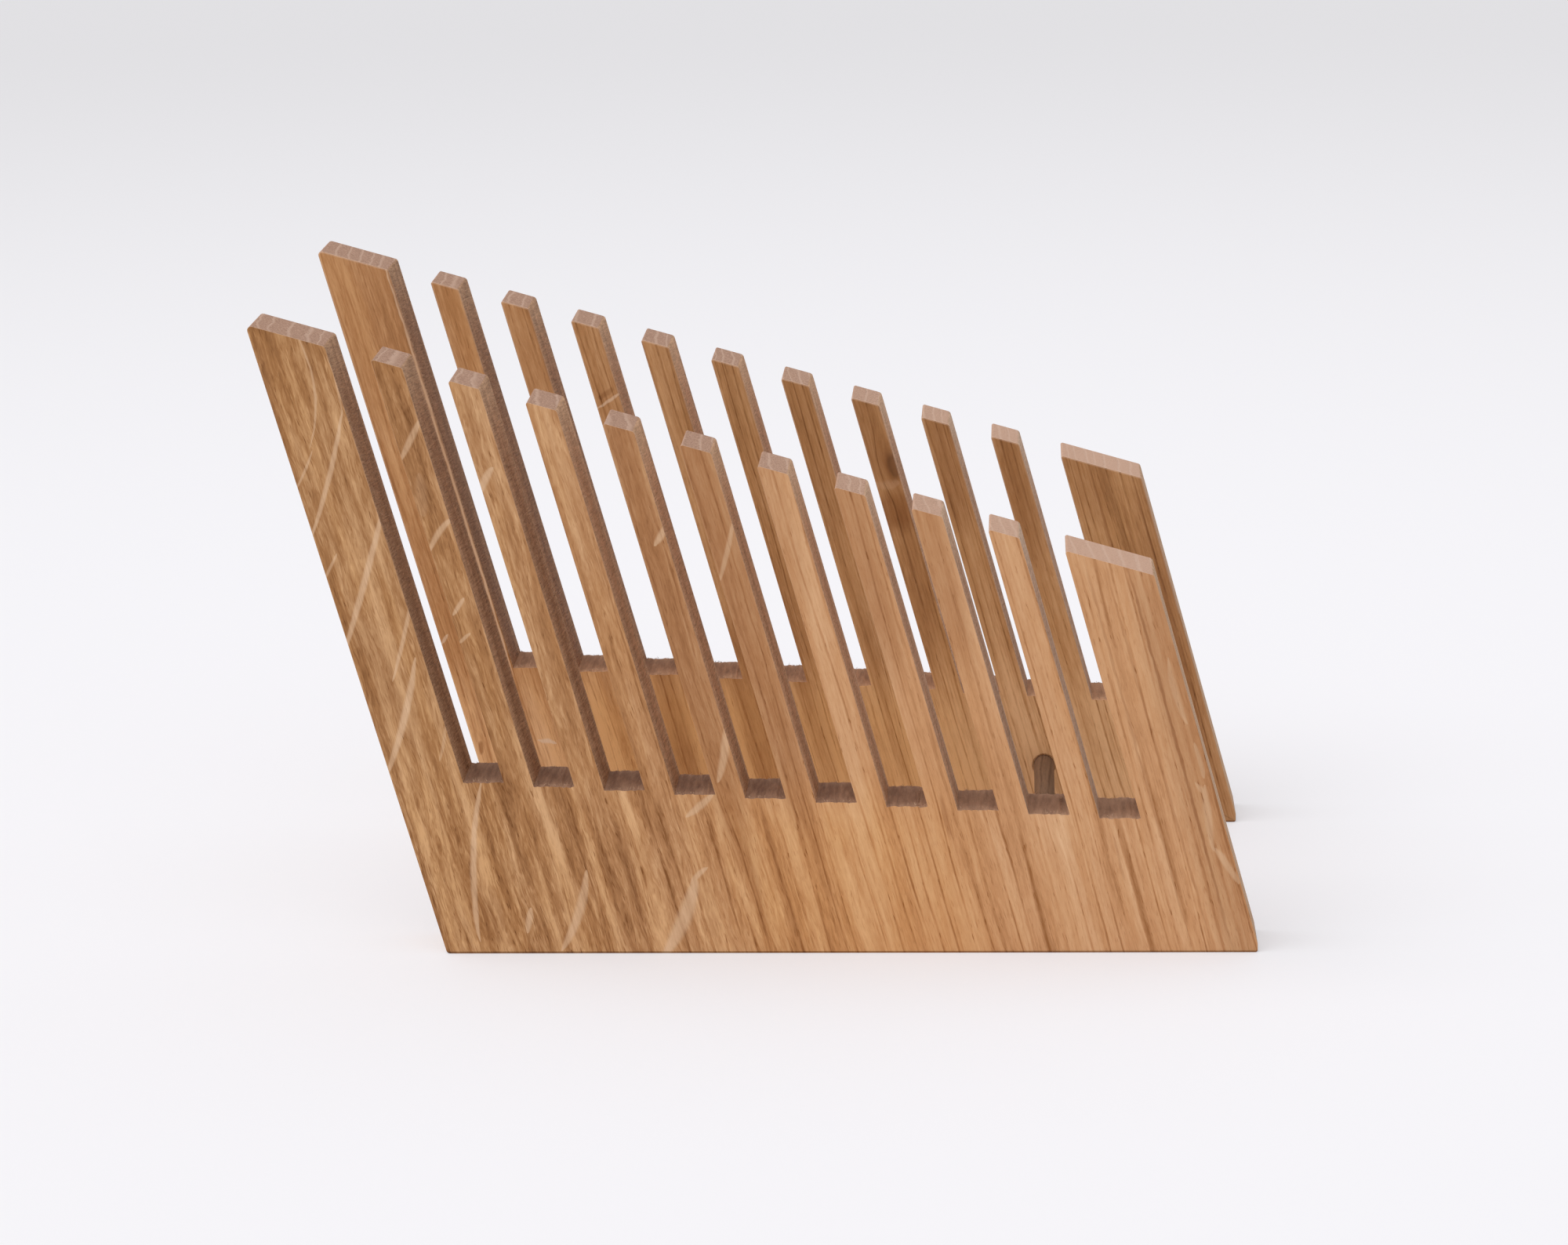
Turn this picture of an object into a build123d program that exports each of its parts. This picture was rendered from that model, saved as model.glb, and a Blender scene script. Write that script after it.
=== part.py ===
"""Oak letter rack: two slotted, leaning comb boards held apart by two hidden dowels.

Letters stand in the slots, which run through both combs in line.
Frame: +Z up, +X along the base towards the low end, -Y is the front.
The origin lies on the table, under the middle of the rack's bounding box.
"""
import os
from math import cos, radians, tan

from build123d import *

# Driving dimensions, in millimetres and degrees
slot_count = 10
slot_width = 10.0           # clear width for letters, square to the tines
tine_width = 7.0            # wood between two slots, square to the tines
high_end_width = 17.5       # wide end tine on the high side
low_end_width = 19.8        # wide end tine on the low side
lean = 15.3                 # tines lean this far from upright, towards the high end
high_tip_height = 163.8     # top corner of the high end, above the table
low_tip_height = 98.5       # top corner of the low end, above the table
first_floor_height = 45.6   # floor of the slot next to the high end
floor_step = 1.1            # each next slot is cut this much deeper
comb_thickness = 19.0
comb_gap = 100.0            # clear space between the two combs
dowel_diameter = 5.5
dowel_height = 16.8         # dowel axis above the table
dowel_inset = 49.5          # dowel axis from the sloping end edge, level with it
blind_wall = 7.0            # wood left between a bore's end and the outer face
bore_clearance = 0.1        # glue film, bore diameter over dowel diameter
dowel_end_gap = 0.5         # air left for glue at the end of each bore
dowel_chamfer = 0.6
tip_rounding = 1.0          # sanded corners of the tine tips
high_toe_rounding = 1.0     # bottom corner below the high end
low_toe_rounding = 2.0      # sharper bottom corner below the low end
arris_easing = 0.4          # narrow chamfer round both faces of each comb

# The outline in the plane of a comb, measured from the bottom corner of the high end
lean_run = tan(radians(lean))
along_base = 1 / cos(radians(lean))
slot_pitch = slot_width + tine_width
board_width = high_end_width + slot_count * slot_pitch - tine_width + low_end_width
base_length = board_width * along_base
high_tip = (-high_tip_height * lean_run, high_tip_height)
low_tip = (base_length - low_tip_height * lean_run, low_tip_height)


def on_tine_line(across, height):
    """Point of the slanted line that starts `across` millimetres from the high end's edge."""
    return (across * along_base - height * lean_run, height)


def slot_corners(index):
    """Corners of one slot, which is open above the tips and level at its floor."""
    near_wall = high_end_width + index * slot_pitch
    far_wall = near_wall + slot_width
    floor = first_floor_height - index * floor_step
    above_tips = high_tip_height + slot_width
    return [
        on_tine_line(near_wall, floor),
        on_tine_line(far_wall, floor),
        on_tine_line(far_wall, above_tips),
        on_tine_line(near_wall, above_tips),
    ]


# One comb face: a leaning board with slots sawn from its sloping top edge
with BuildSketch() as comb_face:
    with BuildLine():
        Polyline((0, 0), (base_length, 0), low_tip, high_tip, close=True)
    make_face()
    for slot in range(slot_count):
        with BuildLine():
            Polyline(*slot_corners(slot), close=True)
        make_face(mode=Mode.SUBTRACT)
    low_toe = comb_face.vertices().group_by(Axis.Y)[0].sort_by(Axis.X)[-1]
    fillet(low_toe, radius=low_toe_rounding)
    high_toe = comb_face.vertices().group_by(Axis.Y)[0].sort_by(Axis.X)[0]
    fillet(high_toe, radius=high_toe_rounding)
    tips = comb_face.vertices().filter_by(lambda corner: corner.Y > first_floor_height + tip_rounding)
    fillet(tips, radius=tip_rounding)

# Both combs and both dowels are set out from the middle of the outline's box
outline_box = comb_face.sketch.bounding_box()
middle = outline_box.center().X
dowel_across = [
    dowel_inset - dowel_height * lean_run - middle,
    base_length - dowel_inset - dowel_height * lean_run - middle,
]
bore_depth = comb_thickness - blind_wall
dowel_length = comb_gap + 2 * (bore_depth - dowel_end_gap)

os.makedirs("parts", exist_ok=True)

# Front and back comb: the same board, bored from its inner face for the dowels
for name, inner_y, outward in (("front_comb", -comb_gap / 2, -1), ("back_comb", comb_gap / 2, 1)):
    inner_face = Plane(origin=(0, inner_y, 0), x_dir=(1, 0, 0), z_dir=(0, -1, 0))
    with BuildPart() as comb:
        with BuildSketch(inner_face):
            with Locations((-middle, 0)):
                add(comb_face.sketch)
        extrude(amount=-outward * comb_thickness)
        face_rims = comb.faces().filter_by(Axis.Y).edges()
        sawn_floors = comb.faces().filter_by(Axis.Z).sort_by(Axis.Z)[1:].edges()
        chamfer(face_rims - sawn_floors, length=arris_easing)
        with BuildSketch(inner_face):
            with Locations(*[(across, dowel_height) for across in dowel_across]):
                Circle((dowel_diameter + bore_clearance) / 2)
        extrude(amount=-outward * bore_depth, mode=Mode.SUBTRACT)
    comb.part.label = name
    export_step(comb.part, f"parts/{name}.step")

# Dowels: plain round rods, glued into the blind bores of both combs
for name, across in zip(("left_dowel", "right_dowel"), dowel_across):
    dowel_end = Plane(origin=(across, dowel_length / 2, dowel_height), x_dir=(1, 0, 0), z_dir=(0, -1, 0))
    with BuildPart() as dowel:
        with BuildSketch(dowel_end):
            Circle(dowel_diameter / 2)
        extrude(amount=dowel_length)
        chamfer(dowel.edges().filter_by(GeomType.CIRCLE), length=dowel_chamfer)
    dowel.part.label = name
    export_step(dowel.part, f"parts/{name}.step")
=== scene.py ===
"""Oak letter rack on a pale table: two slotted comb boards, held apart by two dowels."""
from math import cos, pi, radians, sin

import bpy
from mathutils import Matrix, Vector


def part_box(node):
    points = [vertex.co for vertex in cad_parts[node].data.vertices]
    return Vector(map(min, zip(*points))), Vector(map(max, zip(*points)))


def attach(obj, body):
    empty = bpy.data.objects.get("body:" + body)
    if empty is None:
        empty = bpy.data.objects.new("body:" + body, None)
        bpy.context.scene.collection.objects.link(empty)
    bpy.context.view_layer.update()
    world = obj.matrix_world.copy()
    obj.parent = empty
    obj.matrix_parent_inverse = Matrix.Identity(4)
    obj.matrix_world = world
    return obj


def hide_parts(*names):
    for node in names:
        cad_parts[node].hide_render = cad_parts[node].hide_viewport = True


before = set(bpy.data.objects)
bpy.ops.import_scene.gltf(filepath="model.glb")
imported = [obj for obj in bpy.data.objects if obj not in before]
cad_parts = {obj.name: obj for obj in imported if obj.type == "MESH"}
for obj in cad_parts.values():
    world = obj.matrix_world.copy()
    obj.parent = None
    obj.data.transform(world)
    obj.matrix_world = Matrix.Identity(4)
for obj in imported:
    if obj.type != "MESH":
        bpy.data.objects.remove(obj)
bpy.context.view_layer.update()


# The outline of a comb: a planed oak board, its slanted slots sawn down from a falling top edge,
# one slot after another on a sled. Both boards are cut alike, and their corners are lightly sanded.
# Sizes are in metres, and across means square to the tines.
slot_count = 10
slot_width = 0.0100
tine_width = 0.0070
high_end_width = 0.0175
low_end_width = 0.0198
lean = radians(15.3)
high_tip_height = 0.1638
low_tip_height = 0.0985
board_thickness = 0.019
first_floor_height = 0.0456
floor_step = 0.0011
left_tip_rounding = 0.0005
right_tip_rounding = 0.0012
end_rounding = 0.0010           # at the tips and the toe of the board's two long edges
low_toe_rounding = 0.0006
low_toe_blunting = 0.00063      # how far the sharp low toe is cut back, upright
rounding_points = 5
arris_easing = 0.0004
arris_turn = 0.7                # edges that turn by more than this, in radians, are eased
floor_band = (0.020, 0.060)     # heights between which only slot floors lie
bore_band = (0.008, 0.024)      # heights between which the bores lie
bore_sides = 40
countersink = 0.0005
floor_points = 19               # along each slot floor
second_pass_start = (0.60, 0.85)        # where the saw's second pass starts, as a share of the slot
second_pass_end = 0.97
second_pass_rise = (-0.00025, 0.00010)
tear_reach = 0.0012             # how far in from the faces the floors are torn
tear_depth = 0.0004
touching = 0.00001              # nearer than this counts as on a face
weld_distance = 0.000002


class Wire:
    """The output of a node, which is added to and multiplied like a number."""

    def __init__(self, socket):
        self.socket = socket

    def other(self, name):
        return Wire(self.socket.node.outputs[name])

    def __add__(self, value):
        return reckon("ADD", self, value)

    def __sub__(self, value):
        return reckon("SUBTRACT", self, value)

    def __rsub__(self, value):
        return reckon("SUBTRACT", value, self)

    def __mul__(self, value):
        return reckon("MULTIPLY", self, value)

    def __truediv__(self, value):
        return reckon("DIVIDE", self, value)

    def __rtruediv__(self, value):
        return reckon("DIVIDE", value, self)


def feed(socket, value):
    """Links a wire to a socket, or writes a plain value on it."""
    if isinstance(value, Wire):
        socket.id_data.links.new(value.socket, socket)
    else:
        socket.default_value = value


def place(tree, kind, inputs=(), output=0, **settings):
    """Adds a node with its settings, feeds its inputs by name or number, and gives one output."""
    node = tree.nodes.new(kind)
    for name, value in settings.items():
        setattr(node, name, value)
    for key, value in dict(inputs).items():
        feed(node.inputs[key], value)
    return Wire(node.outputs[output])


def reckon(operation, *values):
    """One Math node on wires and plain numbers."""
    tree = next(value.socket.id_data for value in values if isinstance(value, Wire))
    return place(tree, "ShaderNodeMath", enumerate(values), operation=operation)


def vector(tree, x, y, z):
    """A vector from its three components."""
    return place(tree, "ShaderNodeCombineXYZ", {0: x, 1: y, 2: z})


def parts(wire):
    """The three components of a vector."""
    split = place(wire.socket.id_data, "ShaderNodeSeparateXYZ", {0: wire})
    return split, split.other("Y"), split.other("Z")


def between(value, low, high):
    """1 where a value lies between two limits, and 0 elsewhere."""
    return reckon("GREATER_THAN", value, low) * reckon("LESS_THAN", value, high)


def start_tree(name, kind, inputs):
    """A new node tree with named inputs, and those inputs as wires."""
    socket_kinds = {int: "NodeSocketInt", float: "NodeSocketFloat", tuple: "NodeSocketVector"}
    tree = bpy.data.node_groups.new(name, kind)
    for label, value in inputs.items():
        socket = tree.interface.new_socket(label, in_out="INPUT", socket_type=socket_kinds[type(value)])
        socket.default_value = value
    entry = tree.nodes.new("NodeGroupInput")
    return tree, {label: Wire(entry.outputs[label]) for label in inputs}


def end_tree(tree, outputs):
    """Gives a tree its named outputs: each is a wire and its kind of socket."""
    leaving = tree.nodes.new("NodeGroupOutput")
    for label, (wire, kind) in outputs.items():
        tree.interface.new_socket(label, in_out="OUTPUT", socket_type=kind)
        feed(leaving.inputs[label], wire)
    return tree


def random_number(tree, low, high, key, seed):
    """A number between two limits, drawn anew for each key."""
    return place(
        tree,
        "FunctionNodeRandomValue",
        {2: low, 3: high, "ID": key, "Seed": seed},
        output=1,
        data_type="FLOAT",
    )


def comb_tree(material):
    """A comb from its sizes: outline, slots, rounded tips, torn slot edges and blind bores."""
    tree, given = start_tree(
        "slotted comb",
        "GeometryNodeTree",
        {
            "Slot Count": slot_count,
            "Slot Width": slot_width,
            "Tine Width": tine_width,
            "High End Width": high_end_width,
            "Low End Width": low_end_width,
            "Lean": lean,
            "High Tip Height": high_tip_height,
            "Low Tip Height": low_tip_height,
            "First Floor Height": first_floor_height,
            "Floor Step": floor_step,
            "Thickness": board_thickness,
            "Low Corner": (0.0, 0.0, 0.0),
            "Left Bore": (0.0, 0.0, 0.0),
            "Right Bore": (0.0, 0.0, 0.0),
            "Bore Radius": 0.003,
            "Bore Depth": 0.012,
            "Tear Depth": tear_depth,
            "Seed": 1,
        },
    )

    # Every tine edge from left to right gives two corners of the outline, one high and one low
    index = place(tree, "GeometryNodeInputIndex")
    corner = reckon("MODULO", index, 4)
    edge = reckon("FLOOR", index / 2)
    slot = reckon("FLOOR", (edge + 1) / 2) - 1
    at_high_end = reckon("LESS_THAN", edge, 0.5)
    at_low_end = reckon("GREATER_THAN", edge, given["Slot Count"] * 2 + 0.5)
    inside = 1 - at_high_end - at_low_end
    right_of_slot = 1 - reckon("MODULO", edge, 2)
    pitch = given["Slot Width"] + given["Tine Width"]
    across = given["High End Width"] + slot * pitch + right_of_slot * given["Slot Width"]
    across = across + at_high_end * (given["Tine Width"] - given["High End Width"])
    across = across + at_low_end * (given["Low End Width"] - given["Tine Width"])
    board = given["High End Width"] + given["Slot Count"] * pitch - given["Tine Width"]
    board = board + given["Low End Width"]
    top = given["High Tip Height"] + (given["Low Tip Height"] - given["High Tip Height"]) * across / board
    bottom = (given["First Floor Height"] - slot * given["Floor Step"]) * inside
    is_top = reckon("LESS_THAN", reckon("ABSOLUTE", corner - 1.5), 1)
    height = bottom + is_top * (top - bottom)
    lean_run = reckon("TANGENT", given["Lean"])
    lean_cosine = reckon("COSINE", given["Lean"])
    ring = place(tree, "GeometryNodeCurvePrimitiveCircle", {"Resolution": given["Slot Count"] * 4 + 4})
    corner_place = vector(tree, across / lean_cosine - height * lean_run, height, 0.0)
    outline = place(tree, "GeometryNodeSetPosition", {"Geometry": ring, "Position": corner_place})

    # Slot floors get points along them, and a low step where the saw passed a second time.
    # The low end's edge gets one point, for the bend above its toe.
    floor_cuts = inside * reckon("GREATER_THAN", corner, 2.5) * floor_points
    toe_cut = at_low_end * reckon("LESS_THAN", corner, 2.5)
    outline = place(tree, "GeometryNodeSubdivideCurve", {"Curve": outline, "Cuts": floor_cuts + toe_cut})
    spot_x, spot_y, _ = parts(place(tree, "GeometryNodeInputPosition"))
    on_floor = between(spot_y, *floor_band)
    in_pitch = ((spot_x + spot_y * lean_run) * lean_cosine - given["High End Width"]) / pitch
    slot_number = reckon("FLOOR", in_pitch + 0.001)
    share = (in_pitch - slot_number) * pitch / given["Slot Width"]
    pass_start = random_number(tree, *second_pass_start, slot_number, given["Seed"])
    pass_rise = random_number(tree, *second_pass_rise, slot_number, given["Seed"] + 1)
    second_pass = between(share, pass_start, second_pass_end) * pass_rise * on_floor
    is_toe = reckon("LESS_THAN", spot_y, floor_band[0])
    is_tip = reckon("GREATER_THAN", spot_y, floor_band[1])
    is_low_toe = is_toe * reckon("GREATER_THAN", spot_x, board / 2)
    end_edge = reckon("GREATER_THAN", reckon("ABSOLUTE", in_pitch / given["Slot Count"] - 0.5), 0.55)

    # The sharp toe of the low end is cut upright, and the low end's edge bends just above it
    toe_bend = end_edge * on_floor
    to_toe_x = board / lean_cosine - low_toe_blunting - spot_x
    to_bend_y = low_toe_blunting / lean_run - spot_y
    sideways = (is_low_toe + toe_bend) * to_toe_x
    upward = second_pass + toe_bend * to_bend_y
    outline = place(
        tree,
        "GeometryNodeSetPosition",
        {"Geometry": outline, "Offset": vector(tree, sideways, upward, 0.0)},
    )

    # Tips are sharper on their left than on their right, and the board's own corners lie between
    right_tip = reckon("LESS_THAN", share, 0.5)
    tip_rounding = right_tip * (right_tip_rounding - left_tip_rounding) + left_tip_rounding
    tip_rounding = tip_rounding + end_edge * (end_rounding - tip_rounding)
    toe_rounding = is_low_toe * (low_toe_rounding - end_rounding) + end_rounding
    rounding = is_toe * toe_rounding + is_tip * tip_rounding
    outline = place(
        tree,
        "GeometryNodeFilletCurve",
        {"Curve": outline, "Count": rounding_points, "Radius": rounding},
        mode="POLY",
    )

    # The board in three layers, so that tear-out stays near its two faces
    face = place(tree, "GeometryNodeFillCurve", {"Curve": outline}, mode="NGONS")
    solid = face
    for layer in (tear_reach, given["Thickness"] - 2 * tear_reach, tear_reach):
        solid = place(
            tree,
            "GeometryNodeExtrudeMesh",
            {
                "Mesh": solid,
                "Offset": (0.0, 0.0, 1.0),
                "Offset Scale": layer,
                "Individual": False,
                "Selection": True if solid is face else solid.other("Top"),
            },
            mode="FACES",
        )
    shell = tree.nodes.new("GeometryNodeJoinGeometry")
    feed(shell.inputs[0], place(tree, "GeometryNodeFlipFaces", {0: face}))
    feed(shell.inputs[0], solid)
    joined = Wire(shell.outputs[0])
    solid = place(tree, "GeometryNodeMergeByDistance", {0: joined, "Distance": weld_distance})
    upright = (pi / 2, 0.0, 0.0)
    solid = place(tree, "GeometryNodeTransform", {0: solid, "Rotation": upright})
    low = place(tree, "GeometryNodeBoundBox", {0: solid}, output="Min")
    shift = place(tree, "ShaderNodeVectorMath", {0: given["Low Corner"], 1: low}, operation="SUBTRACT")
    solid = place(tree, "GeometryNodeTransform", {0: solid, "Translation": shift})

    # Chips torn out along the slot floors where the saw left the wood, on both faces
    place_now = place(tree, "GeometryNodeInputPosition")
    _, depth_y, height_z = parts(place_now)
    _, front_y, _ = parts(given["Low Corner"])
    back_y = front_y + given["Thickness"]
    off_front = reckon("ABSOLUTE", depth_y - front_y)
    off_back = reckon("ABSOLUTE", depth_y - back_y)
    on_a_face = reckon("LESS_THAN", reckon("MINIMUM", off_front, off_back), touching)
    torn_edge = on_a_face * between(height_z, *floor_band)
    clumps = place(
        tree, "ShaderNodeTexNoise", {"Vector": place_now, "Scale": 650.0, "Detail": 1.0, "Roughness": 0.6}
    )
    splinter = random_number(tree, 0.0, 1.0, index, given["Seed"] + 2)
    tear = (reckon("MAXIMUM", clumps - 0.35, 0.0) * 1.8 + splinter * 0.35) * given["Tear Depth"]
    solid = place(
        tree,
        "GeometryNodeSetPosition",
        {"Geometry": solid, "Selection": torn_edge, "Offset": vector(tree, 0.0, 0.0, 0.0 - tear)},
    )

    # Blind bores for the dowels, with a small countersink at their mouths
    cut = tree.nodes.new("GeometryNodeMeshBoolean")
    cut.operation = "DIFFERENCE"
    cut.solver = "EXACT"
    cut.inputs["Self Intersection"].default_value = True
    feed(cut.inputs["Mesh 1"], solid)
    for mouth in (given["Left Bore"], given["Right Bore"]):
        bore = place(
            tree,
            "GeometryNodeMeshCylinder",
            {"Vertices": bore_sides, "Radius": given["Bore Radius"], "Depth": given["Bore Depth"] * 2},
        )
        rim = place(
            tree,
            "GeometryNodeMeshCylinder",
            {
                "Vertices": bore_sides,
                "Radius": given["Bore Radius"] + countersink,
                "Depth": 2 * countersink,
            },
        )
        for tool in (bore, rim):
            set_down = {0: tool, "Translation": mouth, "Rotation": upright}
            feed(cut.inputs["Mesh 2"], place(tree, "GeometryNodeTransform", set_down))
    solid = Wire(cut.outputs[0])

    # The long arrises are eased by the bevel that follows, but not the sawn floors or the bores
    ends = place(tree, "GeometryNodeInputMeshEdgeVertices", output="Position 1")
    _, first_y, first_z = parts(ends)
    _, second_y, second_z = parts(ends.other("Position 2"))
    off_faces = 1
    for y in (front_y, back_y):
        apart = reckon("ABSOLUTE", first_y - y) + reckon("ABSOLUTE", second_y - y)
        off_faces = reckon("GREATER_THAN", apart, touching) * off_faces
    sawn = between(first_z, *floor_band) * between(second_z, *floor_band)
    bored = between(first_z, *bore_band) * between(second_z, *bore_band)
    turn = place(tree, "GeometryNodeInputMeshEdgeAngle")
    eased = (1 - off_faces) * (1 - sawn) * (1 - bored) * reckon("GREATER_THAN", turn, arris_turn)
    solid = place(
        tree,
        "GeometryNodeStoreNamedAttribute",
        {0: solid, "Name": "bevel_weight_edge", "Value": eased},
        data_type="FLOAT",
        domain="EDGE",
    )
    solid = place(tree, "GeometryNodeRealizeInstances", {0: solid})
    solid = place(tree, "GeometryNodeSetMaterial", {0: solid, "Material": material})
    return end_tree(tree, {"Comb": (solid, "NodeSocketGeometry")})


def set_inputs(modifier, values):
    """Writes a tree's inputs on a modifier, each by its socket's identifier."""
    for item in modifier.node_group.interface.items_tree:
        if item.in_out == "INPUT" and item.name in values:
            modifier[item.identifier] = values[item.name]


def plain_mesh(name, modify):
    """A new object whose modifiers are turned into a plain mesh."""
    piece = bpy.data.objects.new(name, bpy.data.meshes.new(name))
    bpy.context.collection.objects.link(piece)
    modify(piece)
    shaped = piece.evaluated_get(bpy.context.evaluated_depsgraph_get())
    made = bpy.data.meshes.new_from_object(shaped)
    piece.modifiers.clear()
    piece.data = made
    made.name = name
    return piece


# Oak: quarter-sawn boards with the grain along the tines, rays that fleck the high end,
# straight ring lines at the low end, rough sawn slots and bare end grain on the tips.
# The shader works in board millimetres: across the grain, through the board, along the grain.
def noise(where, stretch, detail=2.0, roughness=0.5):
    """Noise with a given number of features per millimetre along each axis."""
    tree = where.socket.id_data
    scaled = place(tree, "ShaderNodeVectorMath", {0: where, 1: stretch}, operation="MULTIPLY")
    return place(
        tree,
        "ShaderNodeTexNoise",
        {"Vector": scaled, "Scale": 1.0, "Detail": detail, "Roughness": roughness},
    )


def smooth(value, low, high):
    """0 at one limit and 1 at the other, with an eased slope between them."""
    return place(
        value.socket.id_data,
        "ShaderNodeMapRange",
        {"Value": value, "From Min": low, "From Max": high},
        interpolation_type="SMOOTHSTEP",
    )


def clamped(value):
    """A value kept between 0 and 1."""
    return reckon("MINIMUM", reckon("MAXIMUM", value, 0.0), 1.0)


def mix(factor, first, second, blend="MIX"):
    """One colour laid over another by a factor."""
    return place(
        factor.socket.id_data,
        "ShaderNodeMix",
        {0: factor, 6: first, 7: second},
        output=2,
        data_type="RGBA",
        blend_type=blend,
        clamp_factor=True,
    )


def ramp(value, colours):
    """Colours spread evenly over a value from 0 to 1."""
    shades = place(value.socket.id_data, "ShaderNodeValToRGB", {"Fac": value})
    elements = shades.socket.node.color_ramp.elements
    for number, colour in enumerate(colours):
        share = number / (len(colours) - 1)
        element = elements[number] if number < 2 else elements.new(share)
        element.position = share
        element.color = colour
    return shades


def shade(red, green, blue):
    """A colour given as seen on a screen, from 0 to 255, in the shader's own linear scale."""
    return (*(((value / 255 + 0.055) / 1.055) ** 2.4 for value in (red, green, blue)), 1.0)


def start_material(name):
    """A new material and its empty node tree."""
    material = bpy.data.materials.new(name)
    material.use_nodes = True
    material.node_tree.nodes.clear()
    return material, material.node_tree


def end_material(material, shader):
    """Gives a material its surface."""
    leaving = material.node_tree.nodes.new("ShaderNodeOutputMaterial")
    feed(leaving.inputs["Surface"], shader)
    return material


def grain_group():
    """Oak's figure as a tone from 0 dark to 1 light: columns, streaks, fibres, ring lines and pores."""
    tree, given = start_tree(
        "oak grain",
        "ShaderNodeTree",
        {
            "Board": (0.0, 0.0, 0.0),
            "Shift": (0.0, 0.0, 0.0),
            "Ring Spacing": 4.6,
            "Ring Slant": 0.06,
            "Figure": 1.0,
            "Lines": 0.5,
            "Fine Lines": 0.5,
            "Pores": 0.5,
        },
    )
    where = place(tree, "ShaderNodeVectorMath", {0: given["Board"], 1: given["Shift"]}, operation="ADD")
    across, through, along = parts(where)
    drift = (noise(where, (0.03, 0.03, 0.007)) - 0.5) * 4.0
    wave = (noise(where, (0.20, 0.10, 0.035)) - 0.5) * (given["Figure"] * 2.2 + 0.5)
    grain_line = across + through * given["Ring Slant"] + drift + wave
    grain = vector(tree, grain_line, through, along)
    column = noise(grain, (0.20, 0.08, 0.006), 1.0) - 0.5
    streak = noise(grain, (0.42, 0.25, 0.030), 3.0, 0.62) - 0.5

    # Fibres sway a little more than the rings do, and show as short light and dark dashes
    sway = (noise(where, (0.55, 0.30, 0.13), 1.0) - 0.5) * (given["Figure"] * 0.9 + 0.2)
    fibre_line = grain_line + sway
    fibre = noise(vector(tree, fibre_line, through, along), (1.5, 0.9, 0.18), 3.0, 0.65) - 0.5
    gathered = noise(grain, (0.35, 0.20, 0.05), 1.0) - 0.5
    light_noise = noise(vector(tree, fibre_line, through + 40.0, along), (2.0, 1.2, 0.26), 1.0)
    light_dash = smooth(light_noise + gathered * 0.5, 0.57, 0.70)
    dark_noise = noise(vector(tree, fibre_line, through + 80.0, along), (2.4, 1.4, 0.24), 1.0)
    dark_dash = smooth(dark_noise - gathered * 0.5, 0.57, 0.70)

    # A year's ring starts with dark, porous wood and ends in paler, dense wood
    ring = grain_line / given["Ring Spacing"] + noise(grain, (0.11, 0.0, 0.004)) * 2.5
    since_ring = reckon("FRACT", ring)
    early = smooth(reckon("ABSOLUTE", since_ring - 0.12), 0.15, 0.01)
    late = smooth(since_ring, 0.75, 0.98)
    patchy = smooth(noise(grain, (0.30, 0.20, 0.025), 3.0, 0.6), 0.38, 0.60) * 0.75 + 0.25
    fine_line = smooth(reckon("ABSOLUTE", reckon("FRACT", ring * 3.3) - 0.4), 0.22, 0.04)
    fine_patch = smooth(noise(grain, (0.55, 0.30, 0.030), 2.0, 0.6), 0.38, 0.60)
    ring_line = (early - late * 0.20) * patchy + fine_line * fine_patch * given["Fine Lines"]
    pore = smooth(noise(grain, (3.4, 1.8, 0.30), 1.0), 0.63, 0.72) * (early * 0.6 + 0.4)

    tone = column * (given["Figure"] * 0.25 + 0.65)
    tone = tone + streak * (given["Figure"] * 0.5 + 0.5) + fibre * (given["Figure"] * 0.40 + 0.40)
    tone = tone + (light_dash * 0.13 - dark_dash * 0.15) * (given["Figure"] * 0.75 + 0.25)
    tone = tone + 0.57 - ring_line * given["Lines"] - pore * given["Pores"]
    height = streak + fibre - pore * 0.8 - dark_dash * 0.3 - early * patchy * 0.5
    warmth = smooth(noise(grain, (0.16, 0.10, 0.022), 2.0, 0.6), 0.40, 0.62)
    return end_tree(
        tree,
        {
            "Tone": (tone, "NodeSocketFloat"),
            "Height": (height, "NodeSocketFloat"),
            "Ring": (since_ring, "NodeSocketFloat"),
            "Warmth": (warmth, "NodeSocketFloat"),
        },
    )


def fleck_group():
    """One ray cut open, or one stain: a bowed, tapering ribbon, and the same with faded ends."""
    tree, given = start_tree(
        "ray fleck",
        "ShaderNodeTree",
        {
            "Board": (0.0, 0.0, 0.0),
            "Start Across": 0.0,
            "Start Along": 0.0,
            "End Across": 1.0,
            "End Along": 1.0,
            "Width": 1.0,
            "Bow": 0.0,
        },
    )
    across, _, along = parts(given["Board"])
    run_across = given["End Across"] - given["Start Across"]
    run_along = given["End Along"] - given["Start Along"]
    length = reckon("SQRT", run_across * run_across + run_along * run_along)
    off_across = across - given["Start Across"]
    off_along = along - given["Start Along"]
    share = (off_across * run_across + off_along * run_along) / (length * length)
    taper = reckon("MAXIMUM", share * (1 - share), 0.0)
    aside = (off_across * run_along - off_along * run_across) / length + taper * 4.0 * given["Bow"]
    reach = reckon("SQRT", taper) * given["Width"]
    mask = smooth(reckon("ABSOLUTE", aside) / (reach * 1.4 + 0.001), 1.0, 0.3) * between(share, 0.0, 1.0)
    fade = smooth(taper * 4.0, 0.0, 0.8)
    return end_tree(tree, {"Mask": (mask, "NodeSocketFloat"), "Faded": (mask * fade, "NodeSocketFloat")})


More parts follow.
